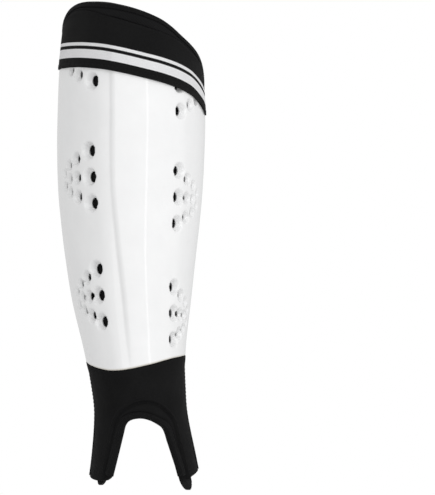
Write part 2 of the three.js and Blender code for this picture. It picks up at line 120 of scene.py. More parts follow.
REAR_EDGE = [Rear(-222, 86), Rear(-168, 87), Rear(-118, 97), Rear(180, 97)]

# The raised panel: the girths of its left foot and its right shoulder, in half widths, and its rise.
Panel = namedtuple("Panel", "z left right rise")
PANEL = [
    Panel(-124, -0.13, 0.278, 0.4), Panel(-98, -0.14, 0.29, 1.2), Panel(-66, -0.148, 0.256, 2.2),
    Panel(-20, -0.208, 0.22, 2.2), Panel(33, -0.272, 0.221, 2.2), Panel(180, -0.29, 0.223, 2.2),
]

# Vents: the columns of one cluster, going away from the shin, and the six clusters. A cluster's four
# places are shares of the half width, as seen from the front. Its vents are larger on the outer side of
# the leg, and it leans so far for each step up.
VentColumn = namedtuple("VentColumn", "diameter dish heights")
VENT_COLUMNS = [
    VentColumn(9.4, 5.6, (-21.6, 0, 21.6)), VentColumn(7.2, 4.4, (-16.5, -0.9, 14.7)),
    VentColumn(5.6, 3, (-12.6, -1.6, 9.4)), VentColumn(4.6, 2.2, (-7.6, 3)),
]
Vent = namedtuple("Vent", "centre radius dish")
VentCluster = namedtuple("VentCluster", "side z size lean places")
VENT_CLUSTERS = [
    VentCluster(-1, 135.6, 0.97, 0, (0.54, 0.727, 0.827, 0.887)),
    VentCluster(-1, 35.3, 0.97, -0.046, (0.561, 0.735, 0.832, 0.894)),
    VentCluster(-1, -61.8, 0.94, 0.025, (0.55, 0.706, 0.812, 0.884)),
    VentCluster(1, 111, 0.86, 0, (0.677, 0.805, 0.885, 0.935)),
    VentCluster(1, 18.8, 0.86, -0.03, (0.676, 0.79, 0.87, 0.925)),
    VentCluster(1, -76.5, 0.86, -0.1, (0.735, 0.84, 0.91, 0.955)),
]


def through(rows, along, column):
    """A smooth curve through a table: the value of one column at a place in another."""
    places = [getattr(row, along) for row in rows]
    values = [getattr(row, column) for row in rows]
    last = len(rows) - 1
    slopes = []
    for row in range(len(rows)):
        before = max(row - 1, 0)
        after = min(row + 1, last)
        slopes.append((values[after] - values[before]) / (places[after] - places[before]))

    def value(place):
        at = min(max(place, places[0]), places[last])
        row = min(max(bisect.bisect_left(places, at), 1), last)
        span = places[row] - places[row - 1]
        share = (at - places[row - 1]) / span
        rise = values[row] - values[row - 1]
        bend = slopes[row - 1] * span - rise
        sway = rise - slopes[row] * span
        return values[row - 1] + rise * share + share * (1 - share) * (bend * (1 - share) + sway * share)

    return value


middle_at = through(LEG_FORM, "z", "middle")
half_at = through(LEG_FORM, "z", "half")
crest_at = through(LEG_FORM, "z", "crest")
rear_angle_at = through(REAR_EDGE, "z", "angle")
panel_left_at = through(PANEL, "z", "left")
panel_right_at = through(PANEL, "z", "right")
panel_rise_at = through(PANEL, "z", "rise")
shell_bottom_at = through(SHELL_BOTTOM, "girth", "z")
band_top_at = through(BAND_TOP, "girth", "z")
band_bottom_at = through(BAND_BOTTOM, "girth", "z")


def mix(first, second, share):
    return first + (second - first) * share


def clamp(value):
    return min(max(value, 0.0), 1.0)


def ease(value):
    share = clamp(value)
    return share * share * (3 - 2 * share)


def angle_of(girth):
    """The angle of the section's normal, in degrees, at a girth from the shin line."""
    arc = [arc for arc in SECTION if arc.girth <= abs(girth)][-1]
    return math.copysign(arc.start + math.degrees((abs(girth) - arc.girth) / arc.radius), girth)


def girth_of(angle):
    arc = [arc for arc in SECTION if arc.start <= abs(angle)][-1]
    return math.copysign(arc.girth + arc.radius * math.radians(abs(angle) - arc.start), angle)


def girth_seen(share):
    """The girth of a point that the front view shows at a share of the half width."""
    for arc in SECTION:
        sine = (abs(share) - arc.x) / arc.radius
        angle = math.degrees(math.asin(min(sine, 1)))
        if angle <= arc.until:
            return math.copysign(girth_of(angle), share)


def rear_girth_at(z):
    return girth_of(rear_angle_at(z))


def leg_point(round_leg, z, offset):
    """The place of a flat point once wrapped, in millimetres: offset is how far out of the shell's face."""
    half = half_at(z)
    angle = angle_of(round_leg / half)
    arc = [arc for arc in SECTION if arc.start <= abs(angle)][-1]
    radius = half * arc.radius + offset
    sine = math.sin(math.radians(angle))
    x = middle_at(z) + math.copysign(half, angle) * arc.x + radius * sine
    y = crest_at(z) + half * arc.y - radius * math.cos(math.radians(angle))
    return Vector((x, y, z))


def panel_rise(girth, z):
    """How far the panel stands out: a crease and a round shoulder on its left, a sharp one on its right."""
    half = half_at(z)
    climb = clamp((girth - panel_left_at(z)) * half / PANEL_FLANK)
    fall = clamp((girth - panel_right_at(z)) * half / PANEL_SLOPE)
    return panel_rise_at(z) * (1 - (1 - climb) ** 2) * (1 - fall) ** 2


def flat_grid(columns, rows, place):
    """A flat sheet: place gives (round the leg, offset, height) for shares across and up."""
    sheet = bmesh.new()
    bmesh.ops.create_grid(sheet, x_segments=columns, y_segments=rows, size=0.5)
    for vert in sheet.verts:
        round_leg, offset, z = place(vert.co.x + 0.5, vert.co.y + 0.5)
        vert.co = (round_leg, -offset, z)
    sheet.normal_update()
    return sheet


def keep_pattern(relief, pattern_of):
    """Keep each corner's place on the flat pattern, in millimetres, as the UVs that the finishes read."""
    layer = relief.loops.layers.uv.new("pattern")
    for face in relief.faces:
        for loop in face.loops:
            loop[layer].uv = pattern_of(loop.vert.co)


def wrap(relief):
    """Bend the relief round the leg and turn it into metres."""
    if not relief.loops.layers.uv:
        keep_pattern(relief, lambda flat: (flat.x, flat.z))
    for vert in relief.verts:
        vert.co = leg_point(vert.co.x, vert.co.z, -vert.co.y) * MM


def finish_piece(name, relief, material, nodes):
    """Turn a relief into the object that stands for its nodes."""
    mesh = bpy.data.meshes.new(name)
    relief.to_mesh(mesh)
    relief.free()
    mesh.shade_smooth()
    mesh.materials.append(material)
    piece = bpy.data.objects.new(name, mesh)
    bpy.context.scene.collection.objects.link(piece)
    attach(piece, "root")
    if nodes:
        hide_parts(*nodes)
    return piece


class Shade:
    """A value in a material's nodes. Arithmetic on it adds Math nodes."""

    def __init__(self, finish, socket):
        self.finish = finish
        self.socket = socket

    def math(self, operation, first, second):
        return self.finish.node("ShaderNodeMath", {"operation": operation}, {0: first, 1: second})

    def __add__(self, other):
        return self.math("ADD", self, other)

    def __radd__(self, other):
        return self.math("ADD", other, self)

    def __sub__(self, other):
        return self.math("SUBTRACT", self, other)

    def __rsub__(self, other):
        return self.math("SUBTRACT", other, self)

    def __mul__(self, other):
        return self.math("MULTIPLY", self, other)

    def __rmul__(self, other):
        return self.math("MULTIPLY", other, self)

    def above(self, other):
        return self.math("GREATER_THAN", self, other)

    def most(self, other):
        return self.math("MAXIMUM", self, other)

    def wave(self, length):
        return self.math("SINE", self * (CYCLE / length), 0)

    def size(self):
        return self.math("ABSOLUTE", self, 0)


class Finish:
    """A material: node() adds any node, surface() feeds its one shader."""

    def __init__(self, name):
        self.material = bpy.data.materials.new(name)
        self.material.use_nodes = True
        self.tree = self.material.node_tree
        self.shader = self.tree.nodes["Principled BSDF"]

    def node(self, kind, settings, inputs, output=0):
        made = self.tree.nodes.new(kind)
        for name, value in settings.items():
            if name == "stops":
                self.set_stops(made.color_ramp, value)
            else:
                setattr(made, name, value)
        self.feed(made, inputs)
        return Shade(self, made.outputs[output])

    def set_stops(self, ramp, stops):
        while len(ramp.elements) < len(stops):
            ramp.elements.new(1)
        for element, (position, colour) in zip(ramp.elements, stops):
            element.position = position
            element.color = (*colour, 1)

    def feed(self, made, inputs):
        for name, value in inputs.items():
            if isinstance(value, Shade):
                self.tree.links.new(value.socket, made.inputs[name])
            else:
                made.inputs[name].default_value = value

    def surface(self, inputs):
        self.feed(self.shader, inputs)

    def cloth(self, inputs):
        """A surface with the faint sheen of loose fibres."""
        self.surface({**inputs, "Sheen Weight": 0.015, "Sheen Roughness": 0.4})

    def places(self):
        return self.node("ShaderNodeTexCoord", {}, {}, "Object")

    def pattern(self):
        """The flat pattern's two directions, in millimetres: round the leg, and up."""
        coordinates = self.node("ShaderNodeUVMap", {"uv_map": "pattern"}, {})
        parts = self.tree.nodes.new("ShaderNodeSeparateXYZ")
        self.feed(parts, {0: coordinates})
        return Shade(self, parts.outputs[0]), Shade(self, parts.outputs[1])

    def cloud(self, places, scale, detail=3.0):
        return self.node("ShaderNodeTexNoise", {}, {"Vector": places, "Scale": scale, "Detail": detail})

    def ramp(self, value, stops):
        return self.node("ShaderNodeValToRGB", {"stops": stops}, {"Fac": value})

    def blend(self, share, first, second):
        return self.node("ShaderNodeMix", {"data_type": "RGBA"}, {0: share, 6: first, 7: second}, 2)

    def bump(self, height, strength, distance):
        inputs = {"Height": height, "Strength": strength, "Distance": distance}
        return self.node("ShaderNodeBump", {}, inputs, "Normal")


def shell_stations(z):
    """The girths that the shell's columns keep to: its rear edges, and the panel's feet and shoulders."""
    half = half_at(z)
    left = panel_left_at(z)
    right = panel_right_at(z)
    rear = rear_girth_at(z)
    return [-rear, left, left + PANEL_FLANK / half, right, right + PANEL_SLOPE / half, rear]


def shell_top_at(girth):
    return band_top_at(girth) - BAND_LAP


LEFT_CELLS = round(LEFT_RUN / SHELL_CELL)
PANEL_CELLS = round(PANEL_RUN / SHELL_CELL)
RIGHT_CELLS = round(RIGHT_RUN / SHELL_CELL)
COLUMN_COUNTS = [LEFT_CELLS, FLANK_CELLS, PANEL_CELLS, SLOPE_CELLS, RIGHT_CELLS]
SHELL_COLUMNS = sum(COLUMN_COUNTS)
SHELL_ROWS = round((shell_top_at(0) - shell_bottom_at(0)) / SHELL_CELL)


def between(stations, counts, share):
    """The place at a share of a run of cells, with counts cells between each station and the next."""
    cell = share * sum(counts)
    for count, start, end in zip(counts, stations, stations[1:]):
        if cell <= count + ROUNDING:
            return mix(start, end, cell / count)
        cell -= count


def shell_place(across, up):
    stations = shell_stations(mix(shell_bottom_at(0), shell_top_at(0), up))
    girth = between(stations, COLUMN_COUNTS, across)
    z = mix(shell_bottom_at(girth), shell_top_at(girth), up)
    return girth * half_at(z), panel_rise(girth, z), z


def vent_places():
    """Every vent that the band leaves in sight."""
    for cluster in VENT_CLUSTERS:
        for share, column in zip(cluster.places, VENT_COLUMNS):
            girth = girth_seen(cluster.side * share)
            for height in column.heights:
                z = cluster.z + height
                round_leg = girth * half_at(z) + cluster.lean * height
                radius = cluster.size * column.diameter / 2
                if z < band_bottom_at(girth) + radius:
                    yield Vent(Vector((round_leg, 0, z)), radius, cluster.size * column.dish)


VENTS = list(vent_places())


def beyond_mouth(vent, flat):
    return math.hypot(flat.x - vent.centre.x, flat.z - vent.centre.z) - vent.radius


def vent_nearness(flat):
    """How far a flat place is from the edge of the nearest vent."""
    return min(beyond_mouth(vent, flat) for vent in VENTS)


def vent_dish(flat):
    """How deep the dished surround of a vent is at a flat place."""
    depth = 0
    for vent in VENTS:
        climb = clamp(beyond_mouth(vent, flat) / (DISH_REACH * vent.radius))
        depth = max(depth, vent.dish * (1 - climb ** DISH_CURVE))
    return depth


def in_block(face, centre, radius):
    spot = face.calc_center_median()
    return abs(spot.z - centre.z) < radius and (spot - centre).length < radius


def in_order(edges):
    """The vertices of one closed ring of edges, going round."""
    edge = edges[0]
    vert = edge.verts[0]
    ring = []
    while not ring or vert is not ring[0]:
        ring.append(vert)
        vert = edge.other_vert(vert)
        edge = next(other for other in vert.link_edges if other in edges and other is not edge)
    return ring


def spread_round(ring, centre, radius):
    """Space a ring of vertices evenly round a circle, turned to where they lie already."""
    spokes = [complex(vert.co.x - centre.x, vert.co.z - centre.z) for vert in ring]
    turning = sum((after * before.conjugate()).imag for before, after in zip(spokes, spokes[1:]))
    step = math.copysign(CYCLE / len(ring), turning)
    start = cmath.phase(sum(spoke * cmath.rect(1, -step * count) for count, spoke in enumerate(spokes)))
    for count, vert in enumerate(ring):
        angle = start + step * count
        vert.co = centre + Vector((math.cos(angle), 0, math.sin(angle))) * radius


def cut_vents(sheet):
    """Open the vents: a round hole in the cells, an even ring of cells to its mouth, and a dished lip."""
    faces = sheet.faces[:]
    opened = []
    rims = []
    for vent in VENTS:
        block = {face for face in faces if in_block(face, vent.centre, vent.radius + VENT_RING)}
        edges = {edge for face in block for edge in face.edges}
        opened.extend(block)
        rims.append([edge for edge in edges if sum(face in block for face in edge.link_faces) == 1])
    bmesh.ops.delete(sheet, geom=opened, context="FACES")
    mouths = set()
    for vent, rim in zip(VENTS, rims):
        spread_round(in_order(rim), vent.centre, vent.radius + VENT_RING)
        ring = bmesh.ops.extrude_edge_only(sheet, edges=rim)["geom"]
        for vert in [part for part in ring if isinstance(part, bmesh.types.BMVert)]:
            vert.co = vent.centre + (vert.co - vent.centre).normalized() * vent.radius
            mouths.add(vert)
    sheet.normal_update()
    bmesh.ops.reverse_faces(sheet, faces=[face for face in sheet.faces if face.normal.y > 0])
    for vert in sheet.verts:
        vert.co.y += vent_dish(vert.co)
    return mouths


def thicken(relief, wall):
    """Give a sheet that faces -Y its wall, behind the face."""
    bmesh.ops.solidify(relief, geom=relief.faces[:], thickness=wall)
    relief.normal_update()


def round_edges(relief, edges, radius, segments):
    bmesh.ops.bevel(relief, geom=edges, offset=radius, offset_type="OFFSET", segments=segments,
                    profile=0.5, affect="EDGES", material=-1, clamp_overlap=True)


def outline_edges(relief, outline):
    """Both long edges of the faces that close a wall round its outline."""
    closing = [face for face in relief.faces
               if abs(face.normal.y) < 0.5 and sum(vert in outline for vert in face.verts) == 2]
    return list({edge for face in closing for edge in face.edges
                 if sum(vert in outline for vert in edge.verts) != 1})


def open_outline(sheet):
    return {vert for vert in sheet.verts if vert.is_boundary}


def flat_girth(flat):
    return flat.x / half_at(flat.z)


def height_from(edge_z_at):
    """A pattern whose heights are measured from an edge."""
    return lambda flat: (flat.x, flat.z - edge_z_at(flat_girth(flat)))


def make_shell():
    shell = flat_grid(SHELL_COLUMNS, SHELL_ROWS, shell_place)
    outline = open_outline(shell)
    mouths = cut_vents(shell)
    faces = set(shell.verts)
    thicken(shell, SHELL_WALL)
    for vert in set(shell.verts) - faces:
        vert.co.y = max(SHELL_WALL, vent_dish(vert.co) + VENT_WALL)
    mouth_edges = [edge for edge in shell.edges if all(vert in mouths for vert in edge.verts)]
    round_edges(shell, mouth_edges, VENT_LIP, 3)
    round_edges(shell, outline_edges(shell, outline), RIM_ROUND, 3)
    keep_pattern(shell, height_from(shell_bottom_at))
    wrap(shell)
    return shell


def shell_plastic():
    """Glossy white plastic: a fine moulded grain, a faint haze, and painted shade and reflection in cream
    grey along the rounded bottom rim.
    """
    finish = Finish("shell_plastic")
    places = finish.places()
    haze = finish.cloud(places, 60)
    grain = finish.cloud(places, 1400, detail=2)
    up = finish.pattern()[1]
    white = finish.ramp(haze, [(0.3, (0.855, 0.857, 0.86)), (0.7, (0.88, 0.882, 0.885))])
    # Painted shade and reflection on the rounded bottom rim: full cream grey up to 0.6 mm above the bottom
    # edge, gone by 1.8 mm.
    rim = finish.ramp(up * 0.5, [(0.3, (1, 1, 1)), (0.9, (0, 0, 0))])
    finish.surface({
        "Base Color": finish.blend(rim, white, PAINTED_RIM_SHADE),
        "Roughness": 0.13 + haze * 0.08,
        "Coat Weight": 0.5,
        "Coat Roughness": 0.05,
        "Normal": finish.bump(grain, 0.05, 0.0001),
    })
    return finish.material


finish_piece("shell_moulding", make_shell(), shell_plastic(), ["shell"])

# Liner: a 5 mm foam pad faced with mesh cloth, glued behind the shell. Above the shell's top edge it
# swells into a soft collar. Its lining, which faces the leg, is charcoal, with a line sewn along the edges
# and channels pressed across.
SEAM_GAP = 0.4
LINER_WALL = 5
LINER_FACE = -SHELL_WALL - SEAM_GAP
LINER_BACK = LINER_FACE - LINER_WALL
LINER_ROUND = 0.9
COLLAR_FACE = -0.3
COLLAR_PUFF = 1.5
COLLAR_BOUND = 2.6
COLLAR_FADE = 2.5
COLLAR_STEP = 0.25
LEDGE_STEP = 0.6
DIMPLE = 3.4
DIMPLE_REACH = 2
DIMPLE_FADE = 2.5
TONGUE = 9
LINER_COLUMNS = 110
LINER_ROWS = [110, 2, 12, 1, 12]
LINING_TILT = 0.3
EDGE_THINNING = 2.0
EDGE_REACH = 4
PAD_SWELL = 0.9
PAD_REACH = 14
PAD_UNEVEN = 0.35
PAD_UNEVEN_LENGTH = 30
CHANNEL_PITCH = 42
MESH_PITCH = 2.3

# Soft lines: how far each lies from the edge or seam it follows, how far it moves a surface outwards, and
# how wide it is.
SoftLine = namedtuple("SoftLine", "inset rise width")
LINER_SEAM = SoftLine(8, 1.8, 1.3)
CHANNEL = SoftLine(0, 2.2, 1.8)

COLLAR_TOP = [
    Edge(-1.95, 157.5), Edge(-1.6, 165.5), Edge(-1.3, 173.1), Edge(-1.05, 177), Edge(-0.83, 178.1),
    Edge(-0.4, 177.1), Edge(0, 172.7), Edge(0.37, 165.4), Edge(0.59, 159.2), Edge(0.85, 150.5),
    Edge(1.38, 134.6), Edge(1.95, 113),
]
collar_top_at = through(COLLAR_TOP, "girth", "z")


def liner_bottom_at(girth):
    return shell_bottom_at(girth) + TONGUE + SEAM_GAP


def ledge_at(girth):
    return shell_top_at(girth) + SEAM_GAP


def soft_noise(round_leg, z, length, seed):
    """Slow unevenness of a soft surface, from -1 to 1 over about the given length."""
    return noise.noise(Vector((round_leg / length, z / length, seed)))


def soft_line(line, distance):
    """How far a soft line moves a surface, at a distance from the edge or seam it follows."""
    return line.rise * math.exp(-((distance - line.inset) / line.width) ** 2)


def liner_place(across, up):
    rear = rear_girth_at(0)
    girth = mix(-rear, rear, across)
    ledge = ledge_at(girth)
    band_top = band_top_at(girth)
    top = collar_top_at(girth)
    stations = [liner_bottom_at(girth), ledge, ledge + LEDGE_STEP, band_top, band_top + COLLAR_STEP, top]
    z = between(stations, LINER_ROWS, up)
    lift = clamp((z - ledge) / LEDGE_STEP)
    fade = ease((top - z - COLLAR_BOUND) / COLLAR_FADE)
    puff = COLLAR_PUFF * clamp((z - band_top) / COLLAR_STEP) * fade
    spot = Vector((girth * half_at(z), 0, z))
    dimple = DIMPLE * (1 - ease((vent_nearness(spot) - DIMPLE_REACH) / DIMPLE_FADE))
    return spot.x, mix(LINER_FACE, COLLAR_FACE, lift) + puff - dimple, z


def liner_back(round_leg, z):
    """The pad's back: thin at its edges, sewn down along one line, and pressed into channels in between."""
    half = half_at(z)
    girth = round_leg / half
    side_in = (rear_girth_at(z) - abs(girth)) * half
    inset = min(side_in, z - liner_bottom_at(girth), collar_top_at(girth) - z)
    thinned = EDGE_THINNING * (1 - clamp(inset / EDGE_REACH)) ** 2
    sewn = soft_line(LINER_SEAM, inset)
    inside = ease((inset - LINER_SEAM.inset) / PAD_REACH)
    from_channel = (z + CHANNEL_PITCH / 2) % CHANNEL_PITCH - CHANNEL_PITCH / 2
    channel = inside * soft_line(CHANNEL, from_channel)
    swell = PAD_SWELL * inside + PAD_UNEVEN * soft_noise(round_leg, z, PAD_UNEVEN_LENGTH, seed=1)
    return LINER_BACK + thinned + sewn + channel - swell


def give_wall(sheet, back_at, outline, radius, segments=2):
    """Copy a face to the back of its wall, where back_at says, close the edges between, and round them."""
    copied = bmesh.ops.extrude_face_region(sheet, geom=sheet.faces[:])["geom"]
    for vert in [part for part in copied if isinstance(part, bmesh.types.BMVert)]:
        vert.co.y = -back_at(vert.co.x, vert.co.z)
    bmesh.ops.recalc_face_normals(sheet, faces=sheet.faces[:])
    round_edges(sheet, outline_edges(sheet, outline), radius, segments)


def make_liner():
    liner = flat_grid(LINER_COLUMNS, sum(LINER_ROWS), liner_place)
    give_wall(liner, liner_back, open_outline(liner), LINER_ROUND, 3)
    liner.normal_update()
    lining = liner.faces.layers.float.new("lining")
    for face in liner.faces:
        face[lining] = float(face.normal.y > LINING_TILT)
    wrap(liner)
    return liner


def foam_cloth():
    """Mesh cloth over foam, black outside and charcoal inside: the yarn is lighter than the rows of eyes."""
    finish = Finish("foam_cloth")
    round_leg, up = finish.pattern()
    eyes = round_leg.wave(MESH_PITCH) * up.wave(MESH_PITCH)
    fleck = finish.cloud(finish.places(), 900)
    wear = finish.cloud(finish.places(), 35)
    tone = 0.35 + 0.25 * eyes + 0.35 * fleck + 0.3 * wear
    black = finish.ramp(tone, [(0.15, (0.002, 0.002, 0.0021)), (0.9, (0.012, 0.012, 0.0125))])
    charcoal = finish.ramp(tone, [(0.15, (0.016, 0.016, 0.017)), (0.9, (0.06, 0.06, 0.063))])
    lining = finish.node("ShaderNodeAttribute", {"attribute_name": "lining"}, {}, "Fac")
    finish.cloth({
        "Base Color": finish.blend(lining, black, charcoal),
        "Roughness": 0.86 - 0.1 * fleck,
        "Specular IOR Level": 0.06,
        "Normal": finish.bump(eyes * 0.8 + fleck * 0.4, 0.5, 0.0004),
    })
    return finish.material


liner = finish_piece("liner_pad", make_liner(), foam_cloth(), ["liner"])

# Collar tape: a woven binding, folded over the collar's top edge and sewn through it with one row of
# thread.
TAPE_WALL = 0.9
TAPE_LEAF = 2
TAPE_FOLD = 0.6
FOLD_CLOTH = 8
TAPE_RIB = 1.2
TAPE_WEFT = 0.9
TAPE_COLUMNS = 190
TAPE_ROWS = 16
LENGTH_STEPS = 40
COLLAR_TAPE = 3
COLLAR_STITCHING = 2.1
STITCH = (2.3, 0.6, 0.5)
STITCH_PITCH = 3.3
ROUTE_STEPS = 200


def tape_profile(share, width, face, back):
    """A place across a folded tape: how far in from the edge, and the offset, going from face to back."""
    outer = face + SEAM_GAP + TAPE_WALL
    inner = back - SEAM_GAP - TAPE_WALL
    thick = (outer - inner) / 2
    fold = 0.5 * math.pi * thick * TAPE_FOLD
    along = share * (width + fold + TAPE_LEAF)
    if along < width:
        return width - along, outer
    if along > width + fold:
        return along - width - fold, inner
    turn = math.pi * (along - width) / fold
    return -(SEAM_GAP + TAPE_WALL) * math.sin(turn), outer - thick * (1 - math.cos(turn))


def tape_sheet(columns, width, face, back, edge_at):
    """A folded tape: edge_at gives the flat edge at a share of its length, and the way in from it."""
    tape = bmesh.new()
    bmesh.ops.create_grid(tape, x_segments=columns, y_segments=TAPE_ROWS, size=0.5)
    marks = [edge_at(step / LENGTH_STEPS)[0] for step in range(LENGTH_STEPS + 1)]
    length = sum((end - start).length for start, end in zip(marks, marks[1:]))
    cloth = width + TAPE_LEAF + FOLD_CLOTH
    keep_pattern(tape, lambda flat: ((flat.x + 0.5) * length, (flat.y + 0.5) * cloth))
    for vert in tape.verts:
        edge, inward = edge_at(vert.co.x + 0.5)
        inset, offset = tape_profile(0.5 - vert.co.y, width, face, back)
        place = edge + inward * inset
        vert.co = (place.x, -offset, place.z)
    tape.normal_update()
    if max(tape.faces, key=lambda leaf: -leaf.calc_center_median().y).normal.y > 0:
        bmesh.ops.reverse_faces(tape, faces=tape.faces[:])
    thicken(tape, TAPE_WALL)
    return tape


def add_stitches(thread, route):
    """Lay thread along a flat route: one small spindle for each stitch."""
    travelled = 0
    due = STITCH_PITCH / 2
    for start, end in zip(route, route[1:]):
        span = (end - start).length
        while due <= travelled + span:
            place = start.lerp(end, (due - travelled) / span)
            lie = (end - start).to_track_quat("X", "Z").to_matrix().to_4x4()
            spindle = Matrix.Translation(place) @ lie @ Matrix.Diagonal((*STITCH, 1))
            bmesh.ops.create_icosphere(thread, subdivisions=1, radius=0.5, matrix=spindle)
            due += STITCH_PITCH
        travelled += span


def edge_along(edge_z_at, up):
    """An edge round the leg: its place at a share of the way, and the way in from it, up or down."""
    def edge_at(share):
        girth = mix(-rear_girth_at(0), rear_girth_at(0), share)
        z = edge_z_at(girth)
        return Vector((girth * half_at(z), 0, z)), Vector((0, 0, up))

    return edge_at


def stitch_route(edge_at, inset, offset):
    """The line that a row of stitches follows, a little way in from an edge."""
    route = []
    for step in range(ROUTE_STEPS + 1):
        edge, inward = edge_at(step / ROUTE_STEPS)
        place = edge + inward * inset
        route.append(Vector((place.x, -offset, place.z)))
    return route


def binding_tape():
    """Black woven binding: fine ribs across the tape, with paler flecks."""
    finish = Finish("binding_tape")
    along, across = finish.pattern()
    ribs = along.wave(TAPE_RIB) * 0.6 + across.wave(TAPE_WEFT) * 0.4
    fleck = finish.cloud(finish.places(), 700)
    tone = 0.3 + 0.2 * ribs + 0.6 * fleck
    finish.cloth({
        "Base Color": finish.ramp(tone, [(0.2, (0.0012, 0.0012, 0.0013)), (0.95, (0.011, 0.011, 0.0113))]),
        "Roughness": 0.74 - 0.12 * fleck,
        "Specular IOR Level": 0.08,
        "Normal": finish.bump(ribs, 0.6, 0.0003),
    })
    return finish.material


def sewing_thread():
    finish = Finish("sewing_thread")
    twist = finish.cloud(finish.places(), 2500)
    finish.surface({
        "Base Color": finish.ramp(twist, [(0.3, (0.004, 0.004, 0.004)), (0.7, (0.014, 0.014, 0.0143))]),
        "Roughness": 0.55 + 0.15 * twist,
        "Specular IOR Level": 0.15,
    })
    return finish.material


tape_finish = binding_tape()
thread_finish = sewing_thread()
collar_edge = edge_along(collar_top_at, -1)
collar_sheet = tape_sheet(TAPE_COLUMNS, COLLAR_TAPE, COLLAR_FACE, LINER_BACK, collar_edge)
wrap(collar_sheet)
collar_tape = finish_piece("collar_binding", collar_sheet, tape_finish, ["collar_tape"])

# Cuff band: a stretch knit band, 1 mm thick, pulled over the shell's top edge and the foot of the collar.
# Its lower edge is turned up in a stitched hem, with two white stripes knitted in above the hem.
BAND_WALL = 1
BAND_COLUMNS = 170
BAND_ROWS = 34
BAND_END_FACE = 0.4
BAND_END_BACK = 0.1
BAND_ROUND = 0.13
BAND_TIGHT = 0.55
KNIT_WALE = 1.1
KNIT_COURSE = 0.9
LOOP_SWAY = 1.5 * KNIT_COURSE / CYCLE
SLACK = 0.3
SLACK_LENGTH = 26
SLACK_ACROSS = 70
SLACK_UP = 2.6
HEM = 3.4
HEM_THICK = 0.5
HEM_EDGE = 0.8
HEM_GROOVE = SoftLine(HEM + 0.4, -0.25, 0.6)
PUCKER = SoftLine(HEM, 0.12, 2.5)
PUCKER_LENGTH = 6.5
TOP_ROLL = SoftLine(1.8, 0.55, 1.7)
TOP_THINNING = SoftLine(0, -0.6, 0.9)
STITCH_LIFT = 0.1

# How early the knit leaves the shell beside the panel, and over how far it climbs or falls, as shares of the
# panel's flank and of its slope.
Bridge = namedtuple("Bridge", "early span")
FLANK_BRIDGE = Bridge(1.2, 1.9)
SLOPE_BRIDGE = Bridge(0.1, 1.3)


def looseness(girth, z):
    """The band is tight at its rear ends and softer towards the front."""
    return ease((rear_girth_at(z) - abs(girth)) / BAND_TIGHT)


def band_rise(girth, z):
    """The knit bridges the panel's creases: it starts to climb before the panel's feet."""
    half = half_at(z)
    climb = (girth - panel_left_at(z)) * half / PANEL_FLANK + FLANK_BRIDGE.early
    fall = (girth - panel_right_at(z)) * half / PANEL_SLOPE + SLOPE_BRIDGE.early
    return panel_rise_at(z) * ease(climb / FLANK_BRIDGE.span) * (1 - ease(fall / SLOPE_BRIDGE.span))


def band_face(girth, z):
    height = z - band_bottom_at(girth)
    below_top = band_top_at(girth) - z
    hem = HEM_THICK * ease((HEM - height) / HEM_EDGE) + soft_line(HEM_GROOVE, height)
    pucker = soft_line(PUCKER, height) * math.sin(girth * half_at(z) * CYCLE / PUCKER_LENGTH)
    top_roll = soft_line(TOP_ROLL, below_top) + soft_line(TOP_THINNING, below_top)
    slack = SLACK * soft_noise(girth * SLACK_ACROSS, z * SLACK_UP, SLACK_LENGTH, seed=5)
    relief = SEAM_GAP + BAND_WALL + hem + pucker + top_roll + slack
    return band_rise(girth, z) + mix(BAND_END_FACE, relief, looseness(girth, z))


def band_place(across, up):
    rear = rear_girth_at(0)
    girth = mix(-rear, rear, across)
    z = mix(band_bottom_at(girth), band_top_at(girth), up)
    return girth * half_at(z), band_face(girth, z), z


def band_back(round_leg, z):
    girth = round_leg / half_at(z)
    return band_rise(girth, z) + mix(BAND_END_BACK, SEAM_GAP, looseness(girth, z))


def make_band():
    band = flat_grid(BAND_COLUMNS, BAND_ROWS, band_place)
    area = sum(face.calc_area() for face in band.faces) * MM * MM
    give_wall(band, band_back, open_outline(band), BAND_ROUND)
    keep_pattern(band, height_from(band_bottom_at))
    wrap(band)
    return band, area


Stripe = namedtuple("Stripe", "height half")
STRIPES = [Stripe(11.5, 3.6), Stripe(19.2, 1.3)]


def stretch_knit():
    """Black knit with two white stripes knitted in above the hem, one broad and one narrow."""
    finish = Finish("stretch_knit")
    round_leg, up = finish.pattern()
    wale = round_leg.wave(KNIT_WALE)
    loops = (up + wale * LOOP_SWAY).wave(KNIT_COURSE)
    fleck = finish.cloud(finish.places(), 800)
    drift = finish.cloud(finish.places(), 30)
    black = finish.ramp(0.3 + 0.12 * loops + 0.4 * fleck + 0.35 * drift,
                        [(0.2, (0.0025, 0.0025, 0.0026)), (0.95, (0.013, 0.013, 0.0133))])
    white = finish.ramp(0.5 + 0.2 * loops + 0.4 * (fleck - 0.5),
                        [(0.2, (0.74, 0.74, 0.75)), (0.8, (0.9, 0.9, 0.91))])
    edge = 0.12 * loops + 0.1 * wale
    insides = [stripe.half - (up - stripe.height + edge).size() for stripe in STRIPES]
    striped = insides[0].most(insides[1]).above(0)
    finish.cloth({
        "Base Color": finish.blend(striped, black, white),
        "Roughness": 0.84 - 0.1 * fleck,
        "Specular IOR Level": 0.06,
        "Normal": finish.bump(loops + wale * 0.4, 0.5, 0.0003),
    })
    return finish.material


def on_band(route):
    for place in route:
        place.y = -band_face(flat_girth(place), place.z) - STITCH_LIFT
    return route


band_relief, band_area = make_band()
cuff_band = finish_piece("cuff_knit", band_relief, stretch_knit(), ["cuff_band"])
cuff_thread = bmesh.new()
collar_route = stitch_route(collar_edge, COLLAR_STITCHING, COLLAR_FACE + SEAM_GAP + TAPE_WALL)
hem_route = on_band(stitch_route(edge_along(band_bottom_at, 1), HEM, 0))
for route in (hem_route, collar_route):
    add_stitches(cuff_thread, route)
wrap(cuff_thread)
cuff_stitches = finish_piece("cuff_stitches", cuff_thread, thread_finish, [])

